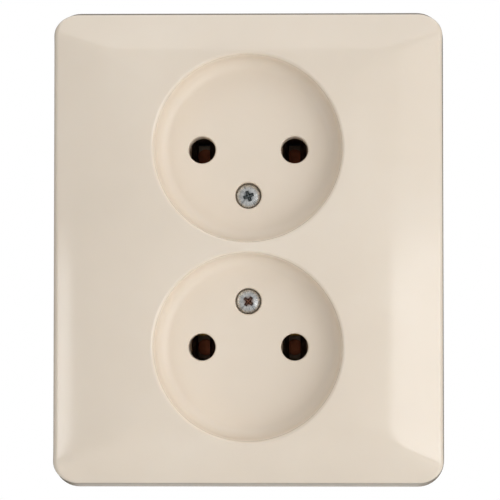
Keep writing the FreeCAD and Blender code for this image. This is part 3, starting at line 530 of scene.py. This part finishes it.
def coverSurface():
    # Both halves of a closed shell, as columns that run from the middle of a well, over the floor, the
    # sweep, the wall, the rim and the slopes, down the skirt, and back inside to the same well.
    # Rings are (r cos a, -height, well + r sin a); slopes are straight lines between two outlines,
    # lifted to coverHeight; the soft edge and the rim are circle arcs.
    wellZ = cover["wellPitch"] / 2
    outX, outZ, normalX, normalZ = halfOutline(cover["outlinePoints"])
    seamTurn = math.atan2(cover["halfX"], wellZ)
    seam = wellZ * np.tan(np.linspace(-seamTurn, seamTurn, cover["seamPoints"])[1:-1])
    columnX = np.concatenate([outX, seam])
    columnZ = np.concatenate([outZ, np.zeros_like(seam)])
    onSeam = np.concatenate([np.zeros(len(outX), bool), np.ones(len(seam), bool)])
    outwardX = np.concatenate([normalX, np.zeros_like(seam)])
    outwardZ = np.concatenate([normalZ, np.zeros_like(seam)])
    angle = np.arctan2(columnZ - wellZ, columnX)
    cosine, sine = np.cos(angle), np.sin(angle)

    def inset(distance):
        # the outline moved inwards; on the seam the move fades with the fourth power of |x|
        share = distance / cover["halfX"] * np.abs(columnX / cover["halfX"]) ** 4
        return (np.where(onSeam, columnX * (1 - share), columnX - distance * outwardX),
                np.where(onSeam, 0.0, columnZ - distance * outwardZ))

    def ring(radius, height):
        shape = np.broadcast_to(radius, angle.shape)
        return np.stack([shape * cosine, -np.broadcast_to(height, angle.shape),
                         wellZ + shape * sine], -1)

    front = [ring(radius, cover["floorHeight"]) for radius in cover["floorRings"]]
    for turn in np.radians(np.linspace(0, cover["steep"], cover["sweepRings"])[1:]):
        front.append(ring(cover["floorRadius"] + cover["sweep"] * math.sin(turn),
                          cover["floorHeight"] + cover["sweep"] * (1 - math.cos(turn))))
    steep = math.radians(cover["steep"])
    wallFoot = cover["floorRadius"] + cover["sweep"] * math.sin(steep)
    footHeight = cover["floorHeight"] + cover["sweep"] * (1 - math.cos(steep))
    mouthX, mouthZ = cover["mouth"] * cosine, wellZ + cover["mouth"] * sine
    lip = coverHeight(mouthX, mouthZ)
    rim = []
    for turn in np.radians(np.linspace(cover["steep"], 0, cover["rimRings"])):
        rim.append((cover["mouth"] - cover["rimRadius"] * math.sin(turn),
                    lip - cover["rimRadius"] * (1 - math.cos(turn))))
    rimRadius, rimHeight = rim[0]
    for share in (1 / 3, 2 / 3):
        front.append(ring(wallFoot + share * (rimRadius - wallFoot),
                          footHeight + share * (rimHeight - footHeight)))
    front += [ring(radius, height) for radius, height in rim]
    edgeX, edgeZ = inset(cover["edge"])
    for share in np.linspace(0, 1, cover["slopeRows"])[1:]:
        x, z = mouthX + share * (edgeX - mouthX), mouthZ + share * (edgeZ - mouthZ)
        front.append(np.stack([x, -coverHeight(x, z), z], -1))

    # the soft edge: an arc from the slope's own gradient down to the drafted skirt, then the skirt
    step = 0.01              # over which the slope's gradient is taken
    stepX, stepZ = inset(cover["edge"] + step)
    topHeight = coverHeight(edgeX, edgeZ)
    gradient = np.arctan((coverHeight(stepX, stepZ) - topHeight) / step)
    radius = cover["edgeRadius"]
    skirt = []
    for share in np.linspace(0, 1, cover["edgeRows"]):
        turn = gradient + share * (math.radians(cover["skirtAngle"]) - gradient)
        outward = radius * (np.sin(turn) - np.sin(gradient))
        fall = radius * (np.cos(gradient) - np.cos(turn))
        skirt.append(np.stack([edgeX + outward * outwardX, -(topHeight - fall),
                               edgeZ + outward * outwardZ], -1))
    arcEnd = skirt[-1]
    foot = np.stack([columnX, np.zeros_like(columnX), columnZ], -1)
    skirt += [arcEnd + share * (foot - arcEnd) for share in (0.25, 0.5, 0.75, 1.0)]

    # inside: rim on the wall, inner skirt, ceiling, and the back of the well
    innerX, innerZ = inset(cover["wall"])
    innerTop = coverHeight(innerX, innerZ) - cover["wall"]
    skirt += [np.stack([innerX, -share * innerTop, innerZ], -1) for share in (0.0, 0.5, 1.0)]
    bossX, bossZ = cover["bossRadius"] * cosine, wellZ + cover["bossRadius"] * sine
    clipped = onSeam & (bossZ < 0)
    bossX, bossZ = np.where(clipped, innerX, bossX), np.where(clipped, 0.0, bossZ)
    inner = []
    for share in np.linspace(1, 0, cover["ceilingRows"]):
        x, z = bossX + share * (innerX - bossX), bossZ + share * (innerZ - bossZ)
        ceiling = np.where(clipped, cover["bossBack"], coverHeight(x, z) - cover["wall"])
        inner.append(np.stack([x, -ceiling, z], -1))
    for share in (1.0, 0.6, 0.25, 0.0):
        inner.append(np.stack([bossX * share, np.full_like(bossX, -cover["bossBack"]),
                               wellZ + share * (bossZ - wellZ)], -1))

    # the skirt runs only round the outline; the other half is the mirror in z = 0
    upper = [(np.array(front), True), (np.array(skirt)[:, ~onSeam], False), (np.array(inner), True)]
    lower = [(grid * np.array([1.0, 1.0, -1.0]), wrap) for grid, wrap in upper]
    return closeSeams(joinGrids("coverMoulding", upper + lower))


def coverHoles():
    # cutters for the pin holes and the stepped recesses of the screws, with rounded mouths
    floor, hem = -cover["floorHeight"], cover["hem"]
    above = floor - cover["cutterRise"]

    def mouth(radius):
        return ([(above, 0.0), (above, radius + 1.4 * hem), (floor - 0.01, radius + hem)]
                + [(floor + hem * math.sin(t), radius + hem * (1 - math.sin(t))) for t in quarterArc])

    profiles = []
    for bore in pinBores:
        x, z = bore["pos_m"][0] / mm, bore["pos_m"][2] / mm
        end = coverHigh.y / mm + cover["cutterPast"]
        profiles.append((x, z, mouth(cover["pinRadius"]) + [(end, cover["pinRadius"]), (end, 0.0)]))
    for node in heads:
        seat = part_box(node)[0].y / mm + cover["screwSeat"]
        end = cover["screwBossEnd"] + cover["cutterPast"]
        profiles.append((0.0, middle(node).z / mm, mouth(cover["screwWell"]) + [
            (seat, cover["screwWell"]), (seat, cover["screwBore"]),
            (end, cover["screwBore"]), (end, 0.0)]))
    return turned("holeCutters", profiles, cover["holeColumns"])


def makeCover():
    piece = coverSurface()

    def peg(radius, end):
        root, bevel = -cover["floorHeight"] + cover["pegRoot"], cover["pegBevel"]
        return [(root, 0.0), (root, radius), (end - bevel, radius), (end, radius - bevel), (end, 0.0)]

    pegs = [(0.0, middle(node).z / mm, peg(cover["screwBoss"], cover["screwBossEnd"])) for node in heads]
    pegs += [(bore["pos_m"][0] / mm, bore["pos_m"][2] / mm, peg(cover["collar"], coverHigh.y / mm))
             for bore in pinBores]
    carve(piece, turned("bossesAndCollars", pegs, cover["pegColumns"]), "UNION")
    carve(piece, coverHoles())
    piece.data.materials.clear()
    piece.data.materials.append(finishes["ivory_moulding"])
    return settle(smooth(piece, cover["sharpAngle"]), "cover_plate")


coverPiece = makeCover()
print("cover:", len(coverPiece.data.polygons), "faces")


screwKinds = {
    # millimetres
    "cover_screw": {
        "shank": 1.5, "pitch": 0.5, "headThick": 1.6, "dome": 0.22, "ease": 0.22,
        "recess": "cross", "arm": 1.1, "slit": 0.34, "deep": 0.75,
        "taper": (1.12, 1.0, 0.62, 0.1),        # its size in front, below the head's face, deep and last
        "mark": (0.75, 1.75, 0.07, 0.12)},      # inner and outer end, half width and depth
    "terminal_screw": {
        "shank": 1.75, "pitch": 0.6, "headThick": 2.2, "dome": 0.12, "ease": 0.20,
        "recess": "slot", "arm": 3.4, "slit": 0.45, "deep": 1.1},
    "claw_screw": {
        "shank": 1.75, "pitch": 0.6, "headThick": 2.1, "dome": 0.30, "ease": 0.25,
        "recess": "slot", "arm": 4.0, "slit": 0.5, "deep": 1.1},
}
screwForm = {
    "threadDepth": 0.54,     # of the pitch
    "threadStart": 0.3,      # mm from the seat
    "threadFade": 0.8,       # mm over which it grows to its full depth
    "tip": 0.5,              # mm of taper at the end
    "tipRadius": 0.72,       # of the shank's
    "headBevel": 0.12,       # mm, under the head
    "cutterRise": 0.6,       # mm that a recess's cutter stands clear in front
    "headRings": 7,
    "rowsPerPitch": 8,
    "columns": 72,
    "sharpAngle": 35,
}


def screwBody(node, kind):
    # One closed surface about a line along Y: a domed head, then a shank whose radius is
    # r - d |2 frac(y / pitch - a / 2 pi) - 1|, the thread, fading out at both ends.
    low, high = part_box(node)
    head, tip = low.y / mm, high.y / mm
    outer = (high.x - low.x) / 2 / mm
    centre = middle(node) / mm
    angle = np.linspace(0, 2 * math.pi, screwForm["columns"], endpoint=False)[None, :]
    ease = kind["ease"]
    seat = head + kind["headThick"]
    inner = np.linspace(0, outer - ease, screwForm["headRings"])
    rows = [(head + kind["dome"] * (r / (outer - ease)) ** 2, r) for r in inner]
    rows += [(head + kind["dome"] + ease * (1 - math.cos(t)), outer - ease + ease * math.sin(t))
             for t in quarterArc]
    bevel = screwForm["headBevel"]
    rows += [(seat - bevel, outer), (seat, outer - bevel), (seat, kind["shank"])]
    count = int((tip - seat) / kind["pitch"] * screwForm["rowsPerPitch"])
    depth = np.linspace(seat, tip - screwForm["tip"], count)[1:]
    y = np.concatenate([[row[0] for row in rows], depth, [tip, tip]])
    radius = np.concatenate([[row[1] for row in rows], np.full(len(depth), kind["shank"]),
                             [kind["shank"] * screwForm["tipRadius"], 0.0]])
    wave = np.abs(2 * np.mod(y[:, None] / kind["pitch"] - angle / (2 * math.pi), 1) - 1)
    fade = (np.clip((y - seat - screwForm["threadStart"]) / screwForm["threadFade"], 0, 1)
            * (radius >= kind["shank"]) * (y > seat))
    grid = radius[:, None] - screwForm["threadDepth"] * kind["pitch"] * wave * fade[:, None]
    points = np.stack([centre.x + grid * np.cos(angle), np.broadcast_to(y[:, None], grid.shape),
                       centre.z + grid * np.sin(angle)], -1)
    return closeSeams(joinGrids(node + "_turned", [(points, True)])), head, centre


def recessCutter(kind, head, centre, tilt):
    # A slot, or a cross whose arms taper towards its bottom, with four shallow radial marks between
    # its arms, all turned by tilt about the screw's axis. A shape is its outline, its turn, and its
    # layers of (depth, size), sized about the outline's middle.
    arm, slit, deep = kind["arm"], kind["slit"], kind["deep"]
    above = head - screwForm["cutterRise"]
    if kind["recess"] == "slot":
        slot = [(-arm, -slit), (arm, -slit), (arm, slit), (-arm, slit)]
        shapes = [(slot, 0, [(above, 1.0), (head + deep, 1.0)])]
    else:
        cross = [(arm, -slit), (arm, slit), (slit, slit), (slit, arm), (-slit, arm), (-slit, slit),
                 (-arm, slit), (-arm, -slit), (-slit, -slit), (-slit, -arm), (slit, -arm), (slit, -slit)]
        depths = (above, head + 0.2, head + deep, head + deep + 0.3)
        shapes = [(cross, 0, list(zip(depths, kind["taper"])))]
        inner, outer, wide, bottom = kind["mark"]
        mark = [(inner, -wide), (outer, -wide), (outer, wide), (inner, wide)]
        shapes += [(mark, math.radians(45 + 90 * quarter), [(above, 1.0), (head + bottom, 1.0)])
                   for quarter in range(4)]
    grids = []
    for outline, turn, layers in shapes:
        cosine, sine = math.cos(tilt + turn), math.sin(tilt + turn)
        points = np.array(outline, float)
        centroid = points.mean(0)
        rings = [(layers[0][0], 0.0)] + layers + [(layers[-1][0], 0.0)]
        grid = []
        for depth, size in rings:
            flat = centroid + size * (points - centroid)
            grid.append(np.stack([centre.x + flat[:, 0] * cosine - flat[:, 1] * sine,
                                  np.full(len(flat), depth),
                                  centre.z + flat[:, 0] * sine + flat[:, 1] * cosine], -1))
        grids.append((np.array(grid), True))
    return closeSeams(joinGrids("recess", grids))


def makeScrews():
    count = 0
    for node in sorted(frame["nodes"]):
        kind = next((screwKinds[key] for key in screwKinds if node.startswith(key)), None)
        if not kind:
            continue
        piece, head, centre = screwBody(node, kind)
        if node in heads:
            tilt = heads[node]["tilt"]
            finish = headSteel("zinc plate, marked head, " + node, middle(node), heads[node]["heart"])
        else:
            tilt = 0.6 * math.sin(7 * centre.x + centre.z)       # no two slots stand the same way
            finish = finishes[slotOf[node]]
        carve(piece, recessCutter(kind, head, centre, tilt))
        piece.data.materials.clear()
        piece.data.materials.append(finish)
        settle(smooth(piece, screwForm["sharpAngle"]), node)
        count += 1
    return count


print("screws:", makeScrews())


easing = {
    # bevel in millimetres
    "socket_base": 0.25, "rear_lid": 0.2, "support_ring": 0.12, "claw_left": 0.12, "claw_right": 0.12,
    "claw_nut_left": 0.18, "claw_nut_right": 0.18, "cover_nuts": 0.15, "ring_rivets": 0.18,
    "lid_screws": 0.12,
}
easing.update({node: 0.08 for node in frame["nodes"]
               if any(word in node for word in ("contact", "busbar", "clamp_plate"))})
edgeForm = {
    "flat": 0.5,             # degrees within which neighbouring triangles are one face
    "bevelAngle": 40,        # degrees from which an edge is bevelled
    "segments": 2,
    "sharpAngle": 32,
    "weight": 90,            # how far large faces rule the normals
}


def easeEdges(node, width):
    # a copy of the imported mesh, its loose triangles joined into faces, with its edges bevelled
    mesh = frame["nodes"][node].data.copy()
    piece = bpy.data.objects.new(node + "_eased", mesh)
    bpy.context.scene.collection.objects.link(piece)
    work = bmesh.new()
    work.from_mesh(mesh)
    bmesh.ops.remove_doubles(work, verts=work.verts, dist=weld["packed"] * mm)
    bmesh.ops.dissolve_limit(work, angle_limit=math.radians(edgeForm["flat"]),
                             verts=work.verts, edges=work.edges)
    work.to_mesh(mesh)
    work.free()
    bevel = piece.modifiers.new("bevel", "BEVEL")
    bevel.width = width * mm
    bevel.segments = edgeForm["segments"]
    bevel.limit_method = "ANGLE"
    bevel.angle_limit = math.radians(edgeForm["bevelAngle"])
    applyModifiers(piece)
    smooth(piece, edgeForm["sharpAngle"])
    # large faces keep their own normal, so that flats stay flat beside the rounded edges
    weighing = piece.modifiers.new("weighing", "WEIGHTED_NORMAL")
    weighing.keep_sharp = True
    weighing.weight = edgeForm["weight"]
    applyModifiers(piece)
    settle(piece, node)


for node, width in easing.items():
    easeEdges(node, width)
print("eased parts:", len(easing))


stage = {"floorZ": -400.0, "floorRadius": 1200.0, "columns": 96, "rings": 6}      # millimetres
studio = {
    # name: (place, aimed at, width, height, watts), in millimetres
    "keyRight": ((572, -582, -160), (0, 0, 0), 785, 400, 2.70),
    "upperRight": ((600, -600, 260), (0, 0, 0), 760, 380, 0.55),
    "fillLeft": ((-445, -648, -120), (0, 0, 0), 100, 300, 0.33),
    "topSoft": ((0, -420, 750), (0, 0, 0), 900, 600, 1.45),
    "floorWash": ((0, 500, 1500), (0, 100, -400), 2400, 1600, 13.0),
}
room = {"even": 0.245, "lean": (0.0, -0.235, 0.0)}      # light from all round, more from the front
view = {"place": (10.65, -530.5, -21.05), "target": (0.35, -4.5, -0.35), "lens": 184.7, "sensor": 36.0,
        "near": 10.0, "far": 20000.0}


def aimed(piece, place, target):
    piece.location = Vector(place) * mm
    piece.rotation_euler = (Vector(target) - Vector(place)).to_track_quat("-Z", "Y").to_euler()
    bpy.context.scene.collection.objects.link(piece)
    return piece


def makeStage():
    # a round floor: x = r cos(a), y = r sin(a)
    angle = np.linspace(0, 2 * math.pi, stage["columns"], endpoint=False)[None, :]
    radius = np.linspace(0, stage["floorRadius"], stage["rings"])[:, None]
    points = np.stack(np.broadcast_arrays(radius * np.cos(angle), radius * np.sin(angle),
                                          np.float64(stage["floorZ"])), -1)
    floor = joinGrids("paperFloor", [(points, True)])
    floor.data.materials.append(palePaper())
    world = bpy.data.worlds.new("studio")
    world.use_nodes = True
    # white where the camera looks, else room["even"] + room["lean"] . direction
    seen = addNode(world, "ShaderNodeLightPath").outputs["Is Camera Ray"]
    around = addNode(world, "ShaderNodeTexCoord").outputs["Generated"]
    leaned = addNode(world, "ShaderNodeVectorMath", {"operation": "DOT_PRODUCT", 1: room["lean"]},
                     {0: around}).outputs["Value"]
    even = addNode(world, "ShaderNodeMath", {1: room["even"]}, {0: leaned}).outputs["Value"]
    strength = addNode(world, "ShaderNodeMapRange", {"To Max": 1.0},
                       {"Value": seen, "To Min": even}).outputs["Result"]
    background = world.node_tree.nodes["Background"].inputs
    background["Color"].default_value = (1, 1, 1, 1)
    world.node_tree.links.new(strength, background["Strength"])
    bpy.context.scene.world = world
    for name, (place, target, width, height, watts) in studio.items():
        lamp = bpy.data.lights.new(name, "AREA")
        lamp.shape = "RECTANGLE"
        lamp.size, lamp.size_y, lamp.energy = width * mm, height * mm, watts
        aimed(bpy.data.objects.new(name, lamp), place, target)


def makeCamera():
    lens = bpy.data.cameras.new("camera")
    lens.lens, lens.sensor_width = view["lens"], view["sensor"]
    lens.clip_start, lens.clip_end = view["near"] * mm, view["far"] * mm
    bpy.context.scene.camera = aimed(bpy.data.objects.new("camera", lens), view["place"], view["target"])


makeStage()
makeCamera()
bpy.context.scene.view_settings.view_transform = "Standard"
print("stage and camera")
